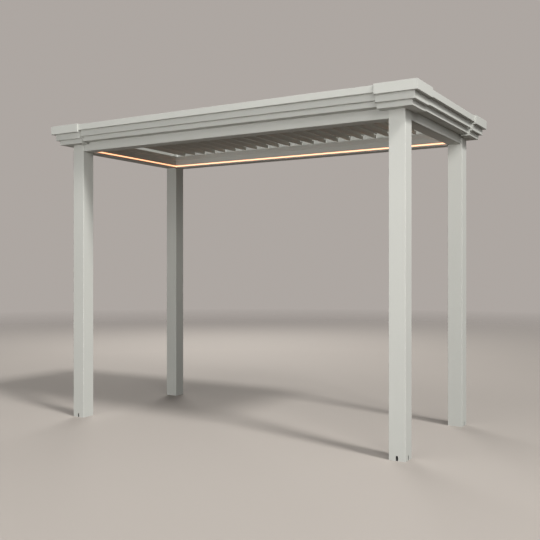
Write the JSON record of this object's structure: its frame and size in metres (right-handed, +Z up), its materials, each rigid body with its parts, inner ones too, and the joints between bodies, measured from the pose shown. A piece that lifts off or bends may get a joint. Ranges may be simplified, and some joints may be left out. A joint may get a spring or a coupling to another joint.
{
  "type": "louvred roof pergola",
  "caption": "Rectangular aluminium pergola on square posts, with a tilting louvre roof, a stepped cornice with corner sleeves and a light strip round the inside.",
  "frame": {"origin": "on the ground under the middle of the roof", "axes": "+X along the long side, -Y towards the front, +Z up"},
  "size_m": [4.157, 2.107, 3.161],
  "materials": {
    "powder_coat": "matte powder coat, pale warm grey",
    "louvre_coat": "matte powder coat, pale warm grey",
    "light_diffuser": "opal diffuser, warm white light",
    "galvanised_steel": "galvanised"
  },
  "bodies": {
    "frame": {"post_front_left": "powder_coat", "cornice_corner_front_left": "powder_coat", "post_front_right": "powder_coat", "cornice_corner_front_right": "powder_coat", "post_rear_right": "powder_coat", "cornice_corner_rear_right": "powder_coat", "post_rear_left": "powder_coat", "cornice_corner_rear_left": "powder_coat", "beam_front": "powder_coat", "cornice_front": "powder_coat", "light_strip_front": "light_diffuser", "beam_right": "powder_coat", "cornice_right": "powder_coat", "light_strip_right": "light_diffuser", "beam_rear": "powder_coat", "cornice_rear": "powder_coat", "light_strip_rear": "light_diffuser", "beam_left": "powder_coat", "cornice_left": "powder_coat", "light_strip_left": "light_diffuser", "foot_plates": "galvanised_steel"},
    "louvre_01": {"louvre_01": "louvre_coat"},
    "louvre_02": {"louvre_02": "louvre_coat"},
    "louvre_03": {"louvre_03": "louvre_coat"},
    "louvre_04": {"louvre_04": "louvre_coat"},
    "louvre_05": {"louvre_05": "louvre_coat"},
    "louvre_06": {"louvre_06": "louvre_coat"},
    "louvre_07": {"louvre_07": "louvre_coat"},
    "louvre_08": {"louvre_08": "louvre_coat"},
    "louvre_09": {"louvre_09": "louvre_coat"},
    "louvre_10": {"louvre_10": "louvre_coat"},
    "louvre_11": {"louvre_11": "louvre_coat"},
    "louvre_12": {"louvre_12": "louvre_coat"},
    "louvre_13": {"louvre_13": "louvre_coat"},
    "louvre_14": {"louvre_14": "louvre_coat"},
    "louvre_15": {"louvre_15": "louvre_coat"},
    "louvre_16": {"louvre_16": "louvre_coat"},
    "louvre_17": {"louvre_17": "louvre_coat"},
    "louvre_18": {"louvre_18": "louvre_coat"},
    "louvre_19": {"louvre_19": "louvre_coat"},
    "louvre_20": {"louvre_20": "louvre_coat"},
    "louvre_21": {"louvre_21": "louvre_coat"},
    "louvre_22": {"louvre_22": "louvre_coat"},
    "louvre_23": {"louvre_23": "louvre_coat"}
  },
  "joints": [
    {"name": "louvre_01_tilt", "type": "hinge", "parent": "frame", "child": "louvre_01", "pos_m": [-1.6654, 0, 3.083], "axis": [0, 1, 0], "range_deg": [-10, 80]},
    {"name": "louvre_02_tilt", "type": "hinge", "parent": "frame", "child": "louvre_02", "pos_m": [-1.514, 0, 3.083], "axis": [0, 1, 0], "range_deg": [-10, 80]},
    {"name": "louvre_03_tilt", "type": "hinge", "parent": "frame", "child": "louvre_03", "pos_m": [-1.3626, 0, 3.083], "axis": [0, 1, 0], "range_deg": [-10, 80]},
    {"name": "louvre_04_tilt", "type": "hinge", "parent": "frame", "child": "louvre_04", "pos_m": [-1.2112, 0, 3.083], "axis": [0, 1, 0], "range_deg": [-10, 80]},
    {"name": "louvre_05_tilt", "type": "hinge", "parent": "frame", "child": "louvre_05", "pos_m": [-1.0598, 0, 3.083], "axis": [0, 1, 0], "range_deg": [-10, 80]},
    {"name": "louvre_06_tilt", "type": "hinge", "parent": "frame", "child": "louvre_06", "pos_m": [-0.9084, 0, 3.083], "axis": [0, 1, 0], "range_deg": [-10, 80]},
    {"name": "louvre_07_tilt", "type": "hinge", "parent": "frame", "child": "louvre_07", "pos_m": [-0.757, 0, 3.083], "axis": [0, 1, 0], "range_deg": [-10, 80]},
    {"name": "louvre_08_tilt", "type": "hinge", "parent": "frame", "child": "louvre_08", "pos_m": [-0.6056, 0, 3.083], "axis": [0, 1, 0], "range_deg": [-10, 80]},
    {"name": "louvre_09_tilt", "type": "hinge", "parent": "frame", "child": "louvre_09", "pos_m": [-0.4542, 0, 3.083], "axis": [0, 1, 0], "range_deg": [-10, 80]},
    {"name": "louvre_10_tilt", "type": "hinge", "parent": "frame", "child": "louvre_10", "pos_m": [-0.3028, 0, 3.083], "axis": [0, 1, 0], "range_deg": [-10, 80]},
    {"name": "louvre_11_tilt", "type": "hinge", "parent": "frame", "child": "louvre_11", "pos_m": [-0.1514, 0, 3.083], "axis": [0, 1, 0], "range_deg": [-10, 80]},
    {"name": "louvre_12_tilt", "type": "hinge", "parent": "frame", "child": "louvre_12", "pos_m": [0, 0, 3.083], "axis": [0, 1, 0], "range_deg": [-10, 80]},
    {"name": "louvre_13_tilt", "type": "hinge", "parent": "frame", "child": "louvre_13", "pos_m": [0.1514, 0, 3.083], "axis": [0, 1, 0], "range_deg": [-10, 80]},
    {"name": "louvre_14_tilt", "type": "hinge", "parent": "frame", "child": "louvre_14", "pos_m": [0.3028, 0, 3.083], "axis": [0, 1, 0], "range_deg": [-10, 80]},
    {"name": "louvre_15_tilt", "type": "hinge", "parent": "frame", "child": "louvre_15", "pos_m": [0.4542, 0, 3.083], "axis": [0, 1, 0], "range_deg": [-10, 80]},
    {"name": "louvre_16_tilt", "type": "hinge", "parent": "frame", "child": "louvre_16", "pos_m": [0.6056, 0, 3.083], "axis": [0, 1, 0], "range_deg": [-10, 80]},
    {"name": "louvre_17_tilt", "type": "hinge", "parent": "frame", "child": "louvre_17", "pos_m": [0.757, 0, 3.083], "axis": [0, 1, 0], "range_deg": [-10, 80]},
    {"name": "louvre_18_tilt", "type": "hinge", "parent": "frame", "child": "louvre_18", "pos_m": [0.9084, 0, 3.083], "axis": [0, 1, 0], "range_deg": [-10, 80]},
    {"name": "louvre_19_tilt", "type": "hinge", "parent": "frame", "child": "louvre_19", "pos_m": [1.0598, 0, 3.083], "axis": [0, 1, 0], "range_deg": [-10, 80]},
    {"name": "louvre_20_tilt", "type": "hinge", "parent": "frame", "child": "louvre_20", "pos_m": [1.2112, 0, 3.083], "axis": [0, 1, 0], "range_deg": [-10, 80]},
    {"name": "louvre_21_tilt", "type": "hinge", "parent": "frame", "child": "louvre_21", "pos_m": [1.3626, 0, 3.083], "axis": [0, 1, 0], "range_deg": [-10, 80]},
    {"name": "louvre_22_tilt", "type": "hinge", "parent": "frame", "child": "louvre_22", "pos_m": [1.514, 0, 3.083], "axis": [0, 1, 0], "range_deg": [-10, 80]},
    {"name": "louvre_23_tilt", "type": "hinge", "parent": "frame", "child": "louvre_23", "pos_m": [1.6654, 0, 3.083], "axis": [0, 1, 0], "range_deg": [-10, 80]}
  ],
  "couplings": [
    {"joint": "louvre_02_tilt", "follows": "louvre_01_tilt", "ratio": 1},
    {"joint": "louvre_03_tilt", "follows": "louvre_01_tilt", "ratio": 1},
    {"joint": "louvre_04_tilt", "follows": "louvre_01_tilt", "ratio": 1},
    {"joint": "louvre_05_tilt", "follows": "louvre_01_tilt", "ratio": 1},
    {"joint": "louvre_06_tilt", "follows": "louvre_01_tilt", "ratio": 1},
    {"joint": "louvre_07_tilt", "follows": "louvre_01_tilt", "ratio": 1},
    {"joint": "louvre_08_tilt", "follows": "louvre_01_tilt", "ratio": 1},
    {"joint": "louvre_09_tilt", "follows": "louvre_01_tilt", "ratio": 1},
    {"joint": "louvre_10_tilt", "follows": "louvre_01_tilt", "ratio": 1},
    {"joint": "louvre_11_tilt", "follows": "louvre_01_tilt", "ratio": 1},
    {"joint": "louvre_12_tilt", "follows": "louvre_01_tilt", "ratio": 1},
    {"joint": "louvre_13_tilt", "follows": "louvre_01_tilt", "ratio": 1},
    {"joint": "louvre_14_tilt", "follows": "louvre_01_tilt", "ratio": 1},
    {"joint": "louvre_15_tilt", "follows": "louvre_01_tilt", "ratio": 1},
    {"joint": "louvre_16_tilt", "follows": "louvre_01_tilt", "ratio": 1},
    {"joint": "louvre_17_tilt", "follows": "louvre_01_tilt", "ratio": 1},
    {"joint": "louvre_18_tilt", "follows": "louvre_01_tilt", "ratio": 1},
    {"joint": "louvre_19_tilt", "follows": "louvre_01_tilt", "ratio": 1},
    {"joint": "louvre_20_tilt", "follows": "louvre_01_tilt", "ratio": 1},
    {"joint": "louvre_21_tilt", "follows": "louvre_01_tilt", "ratio": 1},
    {"joint": "louvre_22_tilt", "follows": "louvre_01_tilt", "ratio": 1},
    {"joint": "louvre_23_tilt", "follows": "louvre_01_tilt", "ratio": 1}
  ]
}
